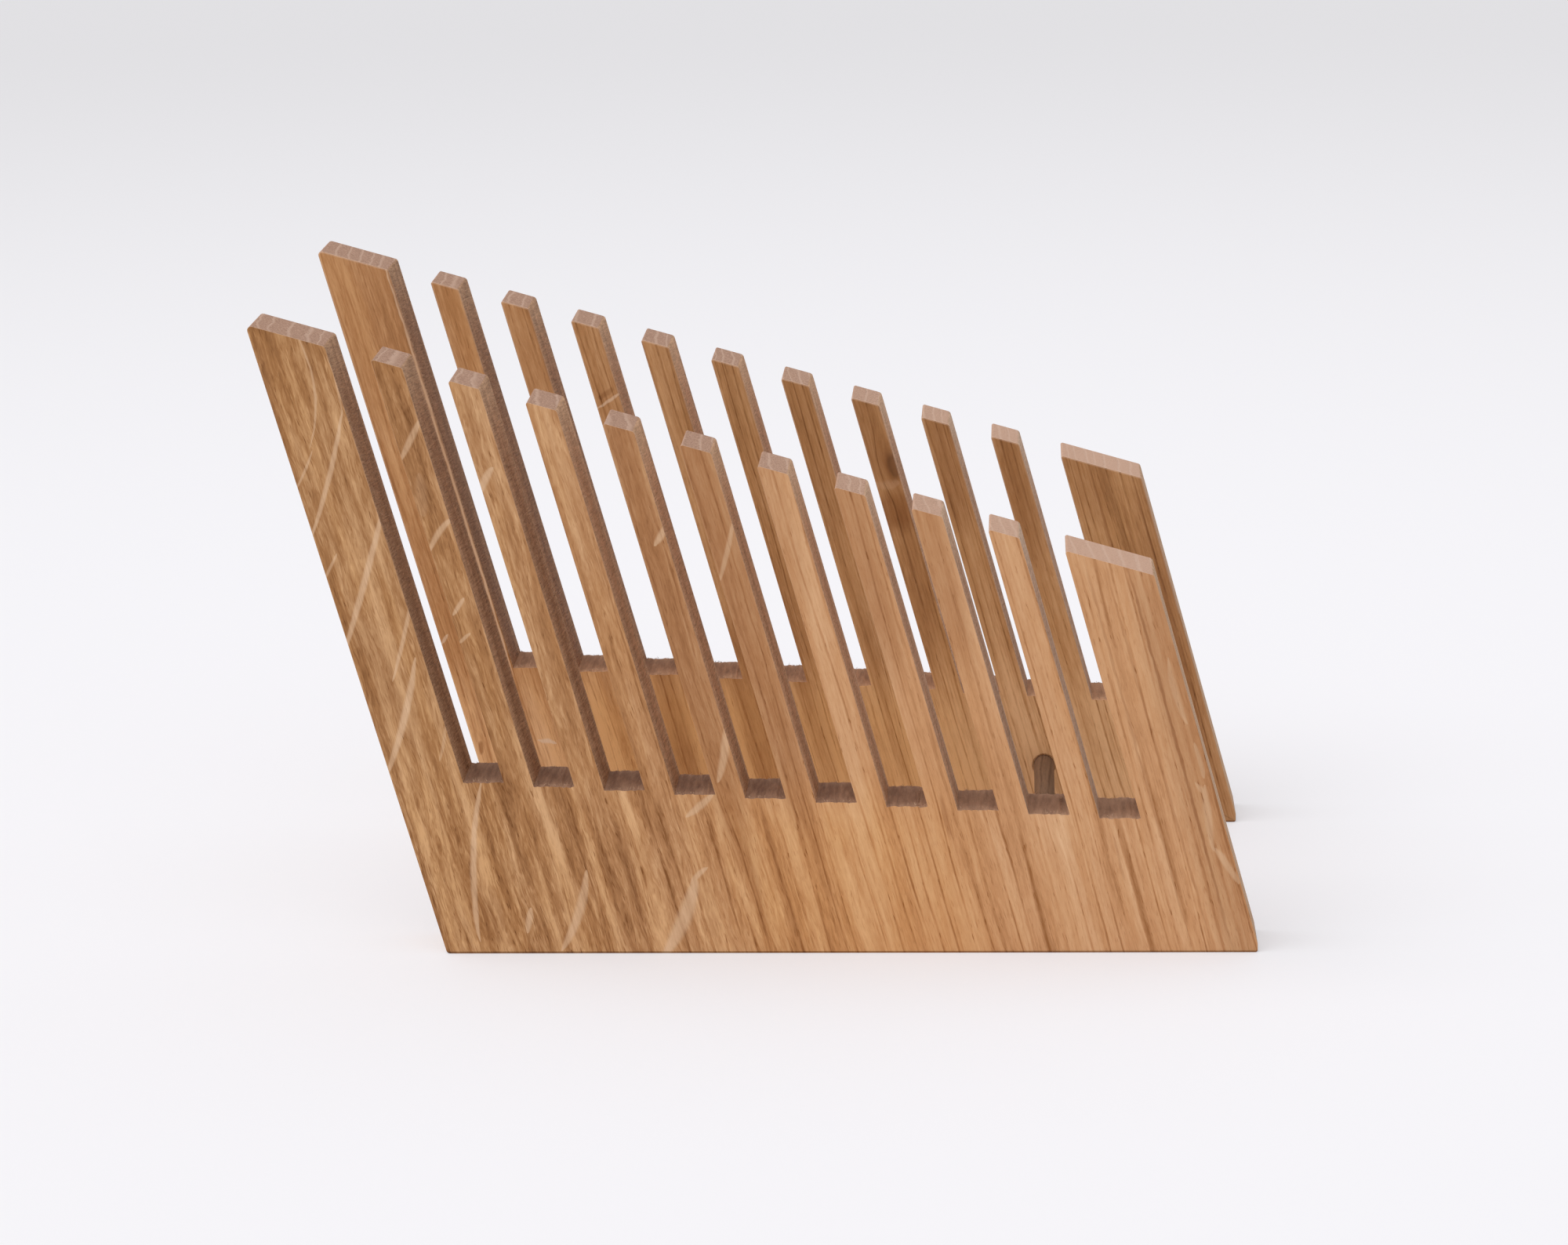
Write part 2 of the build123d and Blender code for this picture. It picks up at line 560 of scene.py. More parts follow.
def saw_group():
    """What a saw leaves on a slot wall: fine rows through the thickness, and broader bands."""
    tree, given = start_tree("saw marks", "ShaderNodeTree", {"Board": (0.0, 0.0, 0.0), "Slope": -0.1})
    across, through, along = parts(given["Board"])
    row = along - through * given["Slope"]
    marks = vector(tree, across, through, row)
    fine = noise(marks, (0.05, 0.16, 2.6), 2.0, 0.6) - 0.5
    speck = noise(given["Board"], (0.5, 2.2, 2.2), 2.0, 0.7) - 0.5
    band = noise(given["Board"], (0.05, 0.25, 0.02), 3.0, 0.6) - 0.5
    return end_tree(tree, {"Mark": (fine * 1.3 + speck * 1.3 + band * 1.0, "NodeSocketFloat")})


oak_grain = grain_group()
ray_fleck = fleck_group()
saw_marks = saw_group()
high_toe_x = -0.08133     # bottom corner of the high end, where board millimetres start
half_board = 9.5          # half a board's thickness, in millimetres


def board_places(tree, middle_y):
    """Board millimetres and the surface's direction in board axes, from object coordinates."""
    spot = place(tree, "ShaderNodeTexCoord", output="Object")
    board = place(
        tree,
        "ShaderNodeMapping",
        {
            "Vector": spot,
            "Scale": (1000.0, 1000.0, 1000.0),
            "Rotation": (0.0, lean, 0.0),
            "Location": (-1000 * high_toe_x * cos(lean), -1000 * middle_y, 1000 * high_toe_x * sin(lean)),
        },
    )
    normal = spot.other("Normal")
    facing = place(tree, "ShaderNodeMapping", {"Vector": normal, "Rotation": (0.0, lean, 0.0)})
    _, _, height_up = parts(spot)
    return board, facing, height_up


def group(tree, node_group, inputs, output=0):
    """A node group in use, and one of its outputs."""
    return place(tree, "ShaderNodeGroup", inputs, output=output, node_tree=node_group)


def ribbon_mask(tree, board, start, end, width, bow):
    """Where one ray or one stain lies on the board."""
    return group(
        tree,
        ray_fleck,
        {
            "Board": board,
            "Start Across": start[0],
            "Start Along": start[1],
            "End Across": end[0],
            "End Along": end[1],
            "Width": width,
            "Bow": bow,
        },
    )


def span(share, ends):
    """A value that goes from one end's to the other's."""
    return share * (ends[1] - ends[0]) + ends[0]


def oak_board(name, middle_y, look, flecks):
    """One board's oak, with its own tones and its own ray flecks."""
    material, tree = start_material(name)
    board, facing, height_up = board_places(tree, middle_y)
    across, through, along = parts(board)
    toward_low_end = smooth(across, 10.0, 125.0)

    # The grain parts round a knot, which is dark, with a darker rim and stained wood about it
    knot_across, knot_along, knot_half_width, knot_half_length = look["knot"]
    aside = across - knot_across
    knot_reach = vector(tree, aside / knot_half_width, 0.0, (along - knot_along) / knot_half_length)
    from_knot = place(tree, "ShaderNodeVectorMath", {0: knot_reach}, output="Value", operation="LENGTH")
    parted = smooth(from_knot, 4.2, 0.9)
    bent = vector(tree, across - aside * parted * 0.8, through, along)

    # Planed face: darker and streaky at the high end, paler with straight lines at the low end
    tone = group(
        tree,
        oak_grain,
        {
            "Board": bent,
            "Shift": look["shift"],
            "Ring Spacing": look["ring spacing"],
            "Figure": span(smooth(across, 30.0, 140.0), look["figure"]),
            "Lines": span(toward_low_end, look["lines"]),
            "Fine Lines": look["fine lines"],
            "Pores": look["pores"],
        },
        output="Tone",
    )
    n_across, n_through, n_along = parts(facing)
    # Faces turned to the front are made paler toward their foot, fading out near the low end's edge:
    # painted light, strong on the back comb, whose inner face stands in the shade between the combs, and
    # slight on the front comb. The same faces also get more contrast there.
    low_down = smooth(height_up, 0.055, 0.030) * reckon("LESS_THAN", n_through, 0.0)
    painted_base_light = smooth(across, 192.0, 176.0) * look["painted base light"]
    face_tone = tone + low_down * ((tone - 0.55) * 0.28 + painted_base_light)
    face = mix(toward_low_end, ramp(face_tone, look["high end"]), ramp(face_tone, look["low end"]))
    off_rim = reckon("ABSOLUTE", from_knot + (tone - 0.5) * 0.5 - 0.9)
    knot_tone = smooth(off_rim, 0.0, 0.5) * 0.5 + tone * 0.4
    face = mix(smooth(from_knot, 3.4, 0.9) * 0.6, face, look["stain"], "MULTIPLY")
    face = mix(smooth(from_knot, 1.9, 0.3) * 0.75, face, ramp(knot_tone, look["knot wood"]))
    golden = tone.other("Warmth") * (1.0 - toward_low_end * 0.6) * look["golden"]
    mid_base = low_down * smooth(across, *look["gold from"]) * smooth(across, 150.0, 118.0)
    face = mix(golden + mid_base * look["base gold"], face, shade(255, 247, 226), "MULTIPLY")

    # Rays and stains run through the board at a slant, and have ragged edges
    ray_slant, ray_rise = 0.5, 1.6
    ragged = (noise(board, (0.5, 0.3, 0.15), 2.0) - 0.5) * 1.2
    slid_across = across + through * ray_slant + half_board * ray_slant
    slid_along = along + through * ray_rise + half_board * ray_rise
    ribbon = vector(tree, slid_across + ragged, through, slid_along + ragged)
    for start, end, width, bow, strength in look["stains"]:
        stain_mask = ribbon_mask(tree, ribbon, start, end, width, bow).other("Faded")
        face = mix(stain_mask * strength, face, look["stain"], "MULTIPLY")
    fleck_mask = None
    fleck_gain = 1.3
    for start, end, width, bow, strength in flecks:
        one = ribbon_mask(tree, ribbon, start, end, width, bow) * strength * fleck_gain
        fleck_mask = one if fleck_mask is None else reckon("MAXIMUM", fleck_mask, one)
    face = mix(fleck_mask, face, ramp(tone * 0.8 + 0.15, look["fleck"]))

    # Slot walls and end edges: sawn across the face's figure, greyer, with slanting scratches
    mark = group(tree, saw_marks, {"Board": board, "Slope": look["saw slope"]})
    inside_board = between(across, 3.0, 197.0)
    wall = smooth(reckon("ABSOLUTE", n_across), 0.55, 0.85)
    # Slot walls grow lighter and greyer toward the low end.
    wall_tone = clamped(mark + tone * 0.15 + toward_low_end * 0.37 + 0.29)
    wall_light_paler_to_low_end = mix(smooth(across, 95.0, 185.0), look["wall light"], look["wall pale"])
    sawn = mix(wall_tone, look["wall dark"], wall_light_paler_to_low_end)
    edge_line = noise(board, (0.3, 0.9, 0.012), 3.0, 0.62)
    edge_fibre = noise(board, (1.0, 2.6, 0.10), 2.0, 0.6)
    edge_tone = smooth(edge_line * 0.75 + edge_fibre * 0.35, 0.38, 0.72)
    edge = mix(edge_tone, look["edge dark"], look["edge light"])
    colour = mix(wall, face, mix(inside_board, edge, sawn))

    # End grain: dull pink-brown on the sanded tips, dark and furry on the sawn floors
    since_ring = tone.other("Ring")
    speckle = noise(board, (2.5, 2.5, 0.5), 3.0, 0.7)
    end_ring = smooth(reckon("ABSOLUTE", since_ring + (speckle - 0.5) * 0.5 - 0.12), 0.16, 0.02)
    tip_tone = smooth(speckle + smooth(across, 90.0, 195.0) * 0.22, 0.34, 0.74)
    tip = mix(tip_tone, look["tip dark"], look["tip light"])
    tip = mix(end_ring * 0.42, tip, look["tip ring"])
    fur = noise(board, (0.8, 0.10, 0.3), 3.0, 0.65)
    floor_tone = smooth(fur + smooth(across, 90.0, 190.0) * 0.16, 0.12, 0.93)
    floor = mix(floor_tone, look["floor dark"], look["floor light"])
    is_floor = reckon("LESS_THAN", height_up, floor_band[1])
    end_face = smooth(reckon("ABSOLUTE", n_along), 0.55, 0.80)
    colour = mix(end_face, colour, mix(is_floor, tip, floor))
    # Eased arrises above the slot floors are painted paler, most where they face up along the tines: a
    # painted highlight on the bevels.
    face_share = reckon("ABSOLUTE", n_through)
    arris = smooth(face_share, 0.15, 0.30) * smooth(face_share, 0.99, 0.95) * (1 - is_floor)
    colour = mix(arris * (smooth(n_along, 0.2, 0.5) * 0.25 + 0.2), colour, look["tip ring"])
    # A dark band painted on the lowest 0.7 mm of both boards: painted contact shadow where they stand on
    # the table.
    painted_contact_shadow = smooth(height_up, 0.0007, 0.0003)
    colour = mix(painted_contact_shadow * 0.8, colour, look["painted contact shadow"], "MULTIPLY")

    rough = wall * 0.3 + end_face * 0.25 - fleck_mask * 0.08 - tone * 0.1 + 0.55
    height = tone.other("Height") * (1 - wall) + mark * wall * 1.5
    height = height + (fur - 0.5) * end_face * is_floor * 2.0
    relief = place(tree, "ShaderNodeBump", {"Strength": 0.35, "Distance": 0.00025, "Height": height})
    shader = place(
        tree,
        "ShaderNodeBsdfPrincipled",
        {"Base Color": colour, "Roughness": rough, "Specular IOR Level": 0.2, "Normal": relief},
    )
    return end_material(material, shader)


# Front comb: the streaky, flecked board that faces the user, glued to the dowels' front ends.
# Its rays show as pale ribbons, most of them at the high end: start, end, width and bow in board mm,
# and how much paler they are than the wood. Stains are given alike, by how much darker they are.
front_look = {
    "shift": (-1.8, 0.0, 0.0),
    "ring spacing": 3.6,
    "figure": (1.0, 0.1),
    "lines": (0.06, 0.30),
    "fine lines": 0.30,
    "pores": 0.42,
    "saw slope": -0.1,
    "high end": (shade(118, 72, 32), shade(172, 122, 76), shade(220, 173, 125)),
    "low end": (shade(156, 101, 54), shade(207, 153, 107), shade(232, 187, 143)),
    # painted light: how much paler front-turned faces are near their foot
    "painted base light": 0.03,
    "base gold": 0.8,
    "gold from": (62.0, 90.0),
    "golden": 0.4,
    "knot": (0.0, -90.0, 1.0, 1.0),
    "knot wood": (shade(84, 52, 32), shade(136, 92, 58)),
    "stain": shade(200, 180, 158),
    "stains": [
        ((52.5, 30.0), (50.5, -14.0), 3.5, 0.4, 0.15),
        ((69.5, 8.0), (67.5, -18.0), 4.0, 0.3, 0.20),
        ((11.5, 44.0), (9.0, -4.0), 10.0, 0.3, 0.18),
        ((15.0, 14.0), (13.0, -3.0), 5.0, 0.3, 0.30),
        ((4.0, 100.0), (8.0, 50.0), 8.0, 0.0, 0.22),
        ((81.5, 14.0), (80.5, -22.0), 2.5, 0.3, 0.25),
        ((88.5, 18.0), (87.0, -24.0), 2.0, 0.3, 0.30),
        ((82.3, 170.0), (81.0, -15.0), 10.0, 0.0, 0.55),
        ((99.7, 160.0), (98.0, -10.0), 10.0, 0.0, 0.60),
        ((114.5, 115.0), (113.5, 55.0), 8.0, 0.0, 0.20),
        ((132.7, 128.0), (131.5, 30.0), 9.0, 0.0, 0.48),
        ((149.7, 115.0), (148.5, 28.0), 9.0, 0.0, 0.42),
        ((133.2, 8.0), (132.4, -6.0), 1.4, 0.2, 0.50),
        ((172.6, -13.0), (172.0, -29.0), 0.7, 0.1, 0.35),
        ((184.4, 66.0), (183.7, -60.0), 0.8, 0.2, 0.45),
        ((189.4, 66.0), (189.0, -60.0), 0.8, -0.3, 0.40),
        ((194.5, 66.0), (193.8, -60.0), 0.8, 0.1, 0.70),
        ((198.0, 70.0), (195.0, -90.0), 12.0, 0.0, 0.45),
    ],
    "fleck": (shade(186, 140, 100), shade(232, 193, 154)),
    "wall dark": shade(142, 105, 77),
    "wall light": shade(226, 181, 143),
    "wall pale": shade(222, 192, 166),
    "edge dark": shade(158, 116, 84),
    "edge light": shade(222, 188, 154),
    "tip dark": shade(156, 119, 98),
    "tip light": shade(204, 166, 142),
    "tip ring": shade(218, 186, 164),
    # painted contact shadow along the boards' foot
    "painted contact shadow": shade(150, 130, 100),
    "floor dark": shade(124, 91, 73),
    "floor light": shade(191, 151, 123),
}
front_flecks = [
    ((11.4, 164.0), (6.0, 135.5), 0.7, 3.1, 0.5),
    ((6.6, 135.0), (-1.0, 126.0), 0.7, 0.3, 0.5),
    ((17.3, 157.0), (15.5, 139.0), 0.6, 1.0, 0.4),
    ((16.8, 142.5), (-1.0, 113.0), 1.3, 0.8, 0.65),
    ((4.5, 108.0), (-1.0, 102.0), 0.8, 0.0, 0.5),
    ((20.5, 118.0), (-2.5, 81.5), 1.7, 0.3, 0.65),
    ((20.0, 93.5), (8.0, 72.5), 1.1, 0.3, 0.55),
    ((15.5, 77.0), (-1.5, 48.5), 1.9, 1.0, 0.65),
    ((17.8, 58.5), (13.5, 49.5), 0.9, 0.2, 0.35),
    ((35.5, 135.6), (27.0, 126.3), 1.7, 0.0, 0.65),
    ((36.0, 109.3), (27.0, 102.0), 1.6, -0.8, 0.65),
    ((32.2, 88.6), (27.8, 84.7), 1.2, 0.0, 0.65),
    ((30.8, 79.2), (27.2, 77.6), 1.0, 0.0, 0.55),
    ((30.5, 122.0), (28.4, 111.0), 3.0, 0.0, 0.16),
    ((49.0, 118.6), (44.0, 112.9), 2.0, -0.5, 0.65),
    ((86.5, 92.7), (82.0, 88.2), 1.8, 0.2, 0.65),
    ((103.2, 89.5), (94.8, 74.5), 1.3, 0.2, 0.48),
    ((22.0, 41.5), (9.0, 0.5), 1.7, -1.9, 0.65),
    ((24.3, 6.0), (21.4, -0.4), 1.7, 0.0, 0.65),
    ((41.2, 12.0), (28.6, -7.2), 2.4, 1.3, 0.65),
    ((71.2, 4.4), (65.5, 1.0), 1.5, -0.4, 0.65),
    ((67.5, 2.5), (53.5, -15.5), 3.8, 1.1, 0.75),
    ((78.2, 22.8), (69.6, 18.6), 1.9, 0.3, 0.65),
    ((86.2, 39.0), (79.8, 24.9), 2.2, 0.6, 0.55),
    ((198.0, 26.0), (198.2, 8.0), 1.6, -0.8, 0.35),
    ((198.6, 3.0), (198.3, -7.0), 1.4, 0.2, 0.45),
    ((196.2, -7.0), (198.2, -11.6), 1.3, 0.0, 0.40),
    ((198.1, -8.5), (195.9, -26.0), 2.0, -0.3, 0.45),
    ((196.0, -24.5), (199.8, -36.0), 1.8, 0.4, 0.50),
]
dowel_radius = (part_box("left_dowel")[1].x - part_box("left_dowel")[0].x) / 2
bore_play = 0.00005


def bore_mouth(dowel, face_y):
    """Where a dowel's axis meets a comb's inner face."""
    low_corner, high_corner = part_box(dowel)
    axis = (low_corner + high_corner) / 2
    return (axis.x, face_y, axis.z)


def make_comb(node, inner_face_y, material, seed):
    """Builds one comb in its CAD node's place."""
    low_corner, high_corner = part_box(node)
    dowel_reach = abs(inner_face_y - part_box("left_dowel")[0 if inner_face_y < 0 else 1].y)
    sizes = {
        "Thickness": high_corner.y - low_corner.y,
        "Low Corner": tuple(low_corner),
        "Left Bore": bore_mouth("left_dowel", inner_face_y),
        "Right Bore": bore_mouth("right_dowel", inner_face_y),
        "Bore Radius": dowel_radius + bore_play,
        "Bore Depth": dowel_reach,
        "Seed": seed,
    }

    def modify(piece):
        shaping = piece.modifiers.new("outline", "NODES")
        shaping.node_group = comb_tree(material)
        set_inputs(shaping, sizes)
        easing = piece.modifiers.new("arrises", "BEVEL")
        easing.limit_method = "WEIGHT"
        easing.width = arris_easing
        easing.segments = 2

    comb = plain_mesh(node + "_oak", modify)
    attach(comb, "root")
    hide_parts(node)


front_inner_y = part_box("front_comb")[1].y
front_middle_y = (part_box("front_comb")[0].y + front_inner_y) / 2
front_oak = oak_board("front comb oak", front_middle_y, front_look, front_flecks)
front_seed = 11
make_comb("front_comb", front_inner_y, front_oak, front_seed)


# Back comb: the same cut in a warmer, darker oak board, with a small knot in one tine.
# It stands in line behind the front comb, glued to the dowels' far ends.
back_look = dict(
    front_look,
    **{
        "shift": (309.2, 47.0, 163.0),
        "ring spacing": 2.7,
        "figure": (0.35, 0.15),
        "lines": (0.18, 0.29),
        "fine lines": 0.35,
        "pores": 0.22,
        "high end": (shade(134, 85, 42), shade(187, 133, 86), shade(226, 176, 127)),
        "low end": (shade(128, 80, 36), shade(190, 139, 91), shade(225, 178, 131)),
        # painted light for the back comb's inner face, in the shade between the combs
        "painted base light": 0.36,
        "base gold": 0.85,
        "gold from": (20.0, 50.0),
        # The back comb's rays are real flecks, made paler than the front comb's as painted light for its
        # shade behind the front comb.
        "fleck": (shade(200, 156, 118), shade(240, 206, 172)),
        # The back comb's sawn floors are painted paler than the front comb's: painted light for the shade
        # they stand in behind the front comb's slots.
        "floor dark": shade(152, 111, 84),
        "floor light": shade(214, 166, 130),
        "knot": (135.6, 69.0, 1.4, 3.2),
        "stains": [
            ((127.0, 57.0), (140.0, 56.0), 12.0, 0.0, 0.80),
            ((134.5, 60.0), (132.0, 15.0), 6.0, 0.3, 0.35),
            ((79.5, 46.0), (77.0, -24.0), 9.0, 0.4, 0.60),
            ((95.5, 62.0), (93.0, -30.0), 7.0, 0.5, 0.35),
            ((57.5, 46.0), (55.0, -20.0), 8.0, 0.3, 0.60),
            ((116.0, 44.0), (114.0, -30.0), 5.0, 0.3, 0.20),
            ((116.0, 125.0), (115.0, 45.0), 8.0, 0.0, 0.30),
            ((132.5, 114.0), (131.5, 58.0), 9.0, 0.0, 0.45),
            ((150.5, 105.0), (149.5, 40.0), 9.0, 0.0, 0.52),
            ((167.5, 98.0), (166.5, 25.0), 9.0, 0.0, 0.52),
            ((187.0, 88.0), (186.5, 34.0), 12.0, 0.0, 0.38),
            ((187.2, 62.0), (186.6, -50.0), 1.0, 0.15, 0.60),
            ((193.4, 62.0), (192.8, -50.0), 0.7, -0.1, 0.45),
            ((197.8, 60.0), (197.2, -50.0), 1.0, 0.2, 0.40),
            ((198.5, 55.0), (196.5, -130.0), 12.0, 0.0, 0.50),
            ((2.2, 25.0), (1.4, 20.5), 1.2, 0.1, 0.8),
            ((68.0, 111.0), (62.0, 109.0), 1.6, 0.2, 0.5),
        ],
    },
)
back_flecks = [
    ((69.5, 109.5), (61.5, 106.5), 0.9, 0.2, 0.65),
    ((129.0, 65.5), (136.0, 64.0), 2.6, -0.5, 0.12),
    ((16.9, 165.0), (16.9, 40.0), 0.9, 0.0, 0.6),
    ((2.6, 56.6), (0.2, 54.4), 1.0, 0.0, 0.6),
    ((17.9, 20.6), (23.0, 18.4), 1.3, 0.1, 0.75),
    ((33.0, 21.5), (28.0, 20.5), 1.2, 0.1, 0.65),
    ((30.0, 60.0), (26.5, 52.0), 1.2, 0.4, 0.65),
    ((104.0, 120.0), (98.0, 114.0), 1.0, 0.2, 0.65),
]
back_inner_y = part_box("back_comb")[0].y
back_middle_y = (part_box("back_comb")[1].y + back_inner_y) / 2
back_oak = oak_board("back comb oak", back_middle_y, back_look, back_flecks)
back_seed = 23
make_comb("back_comb", back_inner_y, back_oak, back_seed)


# Torn fibres: pale splinters that the saw pulled out of the slot floors as it left the wood.
# They are still rooted in the boards, finer than a hair at the tip, and most stand near the two faces.
fibres_per_slot = 22
fibre_length = 0.0013
fibre_radius = 0.00008
splinter_radius = 0.00013
splinter_share = 0.8            # of the board's thickness


def fibre_tree(material):
    """Splinters along the slot floors of one comb: short ones at both faces, and a few long ones."""
    tree, given = start_tree(
        "torn fibres",
        "GeometryNodeTree",
        {
            "Slot Count": slot_count,
            "Slot Width": slot_width,
            "Tine Width": tine_width,
            "High End Width": high_end_width,
            "Lean": lean,
            "First Floor Height": first_floor_height,
            "Floor Step": floor_step,
            "Thickness": board_thickness,
            "Toe": (0.0, 0.0, 0.0),
            "Fibres Per Slot": fibres_per_slot,
            "Fibre Length": fibre_length,
            "Fibre Radius": fibre_radius,
            "Splinter Radius": splinter_radius,
            "Seed": 1,
            "Comb Seed": 1,
        },
    )
    toe_x, face_y, _ = parts(given["Toe"])
    index = place(tree, "GeometryNodeInputIndex")

    def on_floor(slot, share, y):
        height = given["First Floor Height"] - slot * given["Floor Step"]
        pitch = given["Slot Width"] + given["Tine Width"]
        across = given["High End Width"] + slot * pitch + share * given["Slot Width"]
        x = toe_x + across / reckon("COSINE", given["Lean"]) - height * reckon("TANGENT", given["Lean"])
        return vector(tree, x, y, height)

    def strew(count, spot, radius, length, turn, scale, kept):
        points = place(tree, "GeometryNodePoints", {"Count": count, "Position": spot})
        splinter = place(
            tree,
            "GeometryNodeMeshCone",
            {"Vertices": 3, "Radius Top": 0.0, "Radius Bottom": radius, "Depth": length},
        )
        return place(
            tree,
            "GeometryNodeInstanceOnPoints",
            {
                "Points": points,
                "Selection": kept,
                "Instance": splinter,
                "Rotation": place(tree, "FunctionNodeEulerToRotation", {0: turn}),
                "Scale": vector(tree, 1.0, 1.0, scale),
            },
        )

    # Short ones stand at the two faces in turn, and lean into the slot
    far_face = reckon("MODULO", index, 2)
    inward = 1 - far_face * 2
    in_from_face = random_number(tree, 0.0003, 0.0013, index, given["Seed"])
    short_spot = on_floor(
        reckon("FLOOR", index / given["Fibres Per Slot"]),
        random_number(tree, 0.03, 0.97, index, given["Seed"] + 1),
        face_y + far_face * given["Thickness"] + inward * in_from_face,
    )
    lean_in = random_number(tree, -0.1, 1.3, index, given["Seed"] + 2)
    lean_aside = random_number(tree, -1.0, 1.0, index, given["Seed"] + 3)
    short_scale = random_number(tree, 0.3, 1.0, index, given["Seed"] + 4)
    fibres = tree.nodes.new("GeometryNodeJoinGeometry")
    feed(
        fibres.inputs[0],
        strew(
            given["Slot Count"] * given["Fibres Per Slot"],
            short_spot,
            given["Fibre Radius"],
            given["Fibre Length"],
            vector(tree, 0.0 - inward * lean_in, lean_aside, 0.0),
            short_scale,
            True,
        ),
    )

    # Long ones lie where a second pass of the saw left a step along the floor
    long_share = random_number(tree, *second_pass_start, index, given["Comb Seed"])
    long_scale = random_number(tree, 0.6, 1.0, index, given["Seed"] + 5)
    feed(
        fibres.inputs[0],
        strew(
            given["Slot Count"],
            on_floor(index, long_share, face_y + given["Thickness"] * splinter_share),
            given["Splinter Radius"],
            given["Thickness"] * splinter_share,
            (pi / 2, 0.0, 0.0),
            long_scale,
            reckon("GREATER_THAN", random_number(tree, 0.0, 1.0, index, given["Seed"] + 6), 0.5),
        ),
    )
    solid = place(tree, "GeometryNodeRealizeInstances", {0: Wire(fibres.outputs[0])})
    solid = place(tree, "GeometryNodeSetMaterial", {0: solid, "Material": material})
    return end_tree(tree, {"Fibres": (solid, "NodeSocketGeometry")})


def torn_fibre_oak():
    """Pale, dull oak that varies from splinter to splinter."""
    material, tree = start_material("torn oak fibre")
    spot = place(tree, "ShaderNodeTexCoord", output="Object")
    millimetres = place(tree, "ShaderNodeVectorMath", {0: spot, "Scale": 1000.0}, operation="SCALE")
    patches = smooth(noise(millimetres, (0.7, 0.7, 0.7)), 0.35, 0.65)
    colour = mix(patches, shade(168, 130, 102), shade(222, 188, 158))
    shader = place(
        tree,
        "ShaderNodeBsdfPrincipled",
        {"Base Color": colour, "Roughness": 0.8, "Specular IOR Level": 0.2},
    )
    return end_material(material, shader)


def tear_fibres(node, material, seed, comb_seed):
    """Builds the splinters of one comb."""
    low_corner, high_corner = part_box(node)
    sizes = {
        "Thickness": high_corner.y - low_corner.y,
        "Toe": (high_toe_x, low_corner.y, 0.0),
        "Seed": seed,
        "Comb Seed": comb_seed,
    }

    def modify(piece):
        strewing = piece.modifiers.new("splinters", "NODES")
        strewing.node_group = fibre_tree(material)
        set_inputs(strewing, sizes)

    fibres = plain_mesh(node.replace("comb", "torn_fibres"), modify)
    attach(fibres, "root")


fibre_oak = torn_fibre_oak()
tear_fibres("front_comb", fibre_oak, seed=41, comb_seed=front_seed)
tear_fibres("back_comb", fibre_oak, seed=53, comb_seed=back_seed)


# Dowels: two plain oak rods, glued into the blind bores, greyer than the boards.
# Their grain runs from comb to comb.
def dowel_oak():
    """Dark, greyish oak with its grain along y."""
    material, tree = start_material("dowel oak")
    spot = place(tree, "ShaderNodeTexCoord", output="Object")
    along_rod = place(
        tree,
        "ShaderNodeMapping",
        {"Vector": spot, "Scale": (1000.0, 1000.0, 1000.0), "Rotation": (pi / 2, 0.0, 0.0)},
    )
    tone = group(
        tree,
        oak_grain,
        {
            "Board": along_rod,
            "Shift": (71.0, 13.0, 29.0),
            "Ring Spacing": 2.4,
            "Figure": 0.6,
            "Lines": 0.4,
            "Pores": 0.5,
        },
        output="Tone",
    )
    colour = mix(clamped(tone), shade(89, 64, 47), shade(134, 102, 78))
    height = tone.other("Height")
    relief = place(tree, "ShaderNodeBump", {"Strength": 0.3, "Distance": 0.0002, "Height": height})
    shader = place(
        tree,
        "ShaderNodeBsdfPrincipled",
        {"Base Color": colour, "Roughness": 0.6, "Specular IOR Level": 0.3, "Normal": relief},
    )
    return end_material(material, shader)


rod_oak = dowel_oak()
for dowel in ("left_dowel", "right_dowel"):
    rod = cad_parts[dowel]
    rod.data.materials.clear()
    rod.data.materials.append(rod_oak)
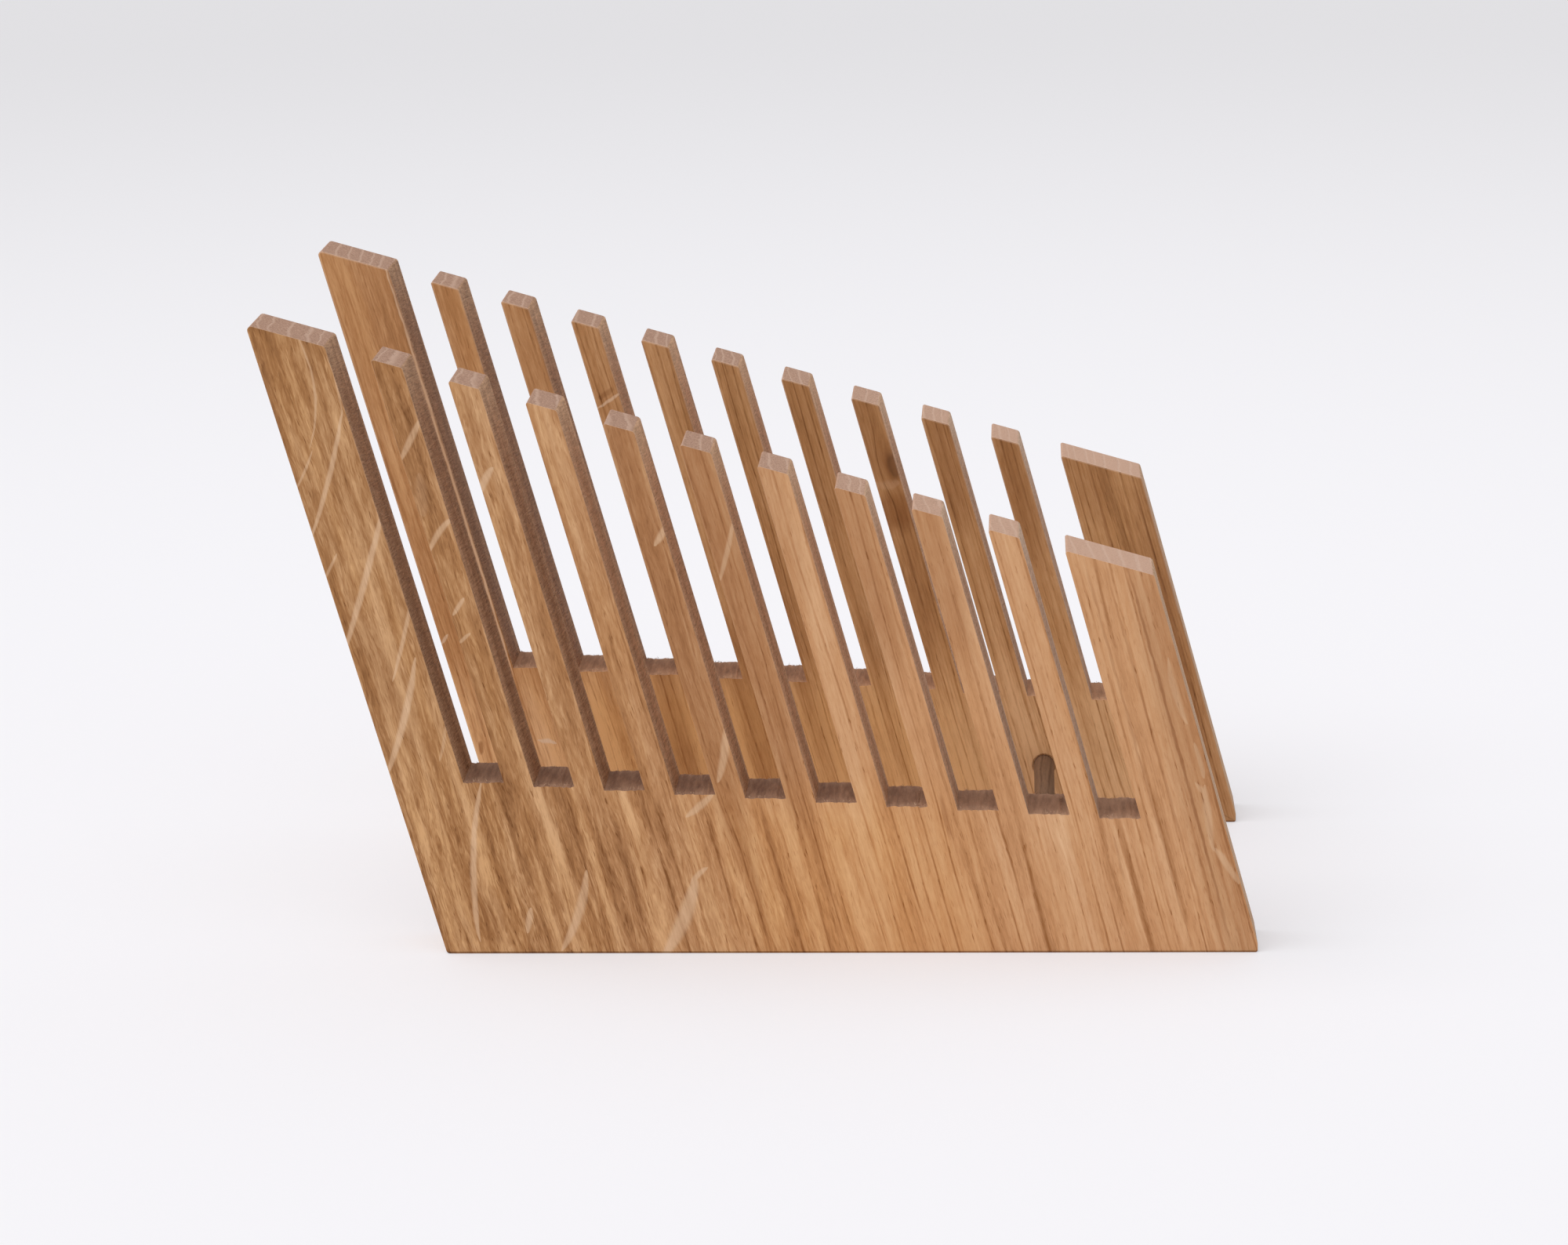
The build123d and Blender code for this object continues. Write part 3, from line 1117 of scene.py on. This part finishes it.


# Table: a wide sheet of white card that the rack stands on, a little greyer far away as painted shade.
# It is stage, not part of the rack.
table_reach = 8.0               # from the middle of the table to its sides
card_glow_share = 0.37          # how much of its white the camera sees whatever the shade
corner_signs = ((-1, -1), (1, -1), (1, 1), (-1, 1))
table_corners = [(table_reach * x, table_reach * y, 0.0) for x, y in corner_signs]
table_mesh = bpy.data.meshes.new("table")
table_mesh.from_pydata(table_corners, [], [(0, 1, 2, 3)])
table = bpy.data.objects.new("table", table_mesh)
bpy.context.collection.objects.link(table)
card, card_tree = start_material("white card")
card_spot = place(card_tree, "ShaderNodeTexCoord", output="Object")
far_away = place(card_tree, "ShaderNodeVectorMath", {0: card_spot}, output="Value", operation="LENGTH")
# The card's colour greys with distance from the middle: painted shade for light falling off far from the
# rack.
card_colour = mix(smooth(far_away, 0.1, 2.2), shade(248, 247, 250), shade(226, 225, 227))
card_shader = place(
    card_tree,
    "ShaderNodeBsdfPrincipled",
    {"Base Color": card_colour, "Roughness": 0.8, "Specular IOR Level": 0.1},
)
card_glow = place(card_tree, "ShaderNodeEmission", {"Color": card_colour, "Strength": 1.0})
ray = place(card_tree, "ShaderNodeLightPath", output="Is Camera Ray")
seen = reckon("MAXIMUM", ray, ray.other("Is Glossy Ray"))
seen = reckon("MAXIMUM", seen, ray.other("Is Transmission Ray"))
card_mix = {0: seen * card_glow_share, 1: card_shader, 2: card_glow}
end_material(card, place(card_tree, "ShaderNodeMixShader", card_mix))
table_mesh.materials.append(card)


# Light: a white room all round and one large soft lamp above, to the left and a little in front.
world = bpy.data.worlds.new("white room")
bpy.context.scene.world = world
world.use_nodes = True
room = world.node_tree.nodes["Background"]
room.inputs["Color"].default_value = (0.93, 0.93, 0.95, 1.0)
room.inputs["Strength"].default_value = 0.66
lamp_data = bpy.data.lights.new("soft lamp", "SUN")
lamp_data.angle = radians(60.0)
lamp_data.energy = 1.46
lamp = bpy.data.objects.new("soft lamp", lamp_data)
lamp_from = Vector((-0.62, -0.22, 1.0))
lamp.rotation_euler = lamp_from.to_track_quat("Z", "Y").to_euler()
bpy.context.collection.objects.link(lamp)


# Camera: a long lens from the front, above the table and a little right of the middle.
camera_place = (0.0664075, -1.1807045, 0.355766)
camera_turn = radians(3.07585)      # to the left
camera_dip = radians(13.57777)      # below level
camera_roll = radians(-1.03213)
camera_data = bpy.data.cameras.new("camera")
camera_data.sensor_fit = "HORIZONTAL"
camera_data.sensor_width = 36.0
camera_data.lens = 104.761
camera = bpy.data.objects.new("camera", camera_data)
bpy.context.collection.objects.link(camera)
camera.matrix_world = (
    Matrix.Translation(camera_place)
    @ Matrix.Rotation(camera_turn, 4, "Z")
    @ Matrix.Rotation(pi / 2 - camera_dip, 4, "X")
    @ Matrix.Rotation(camera_roll, 4, "Z")
)
bpy.context.scene.camera = camera
bpy.context.scene.view_settings.view_transform = "Standard"
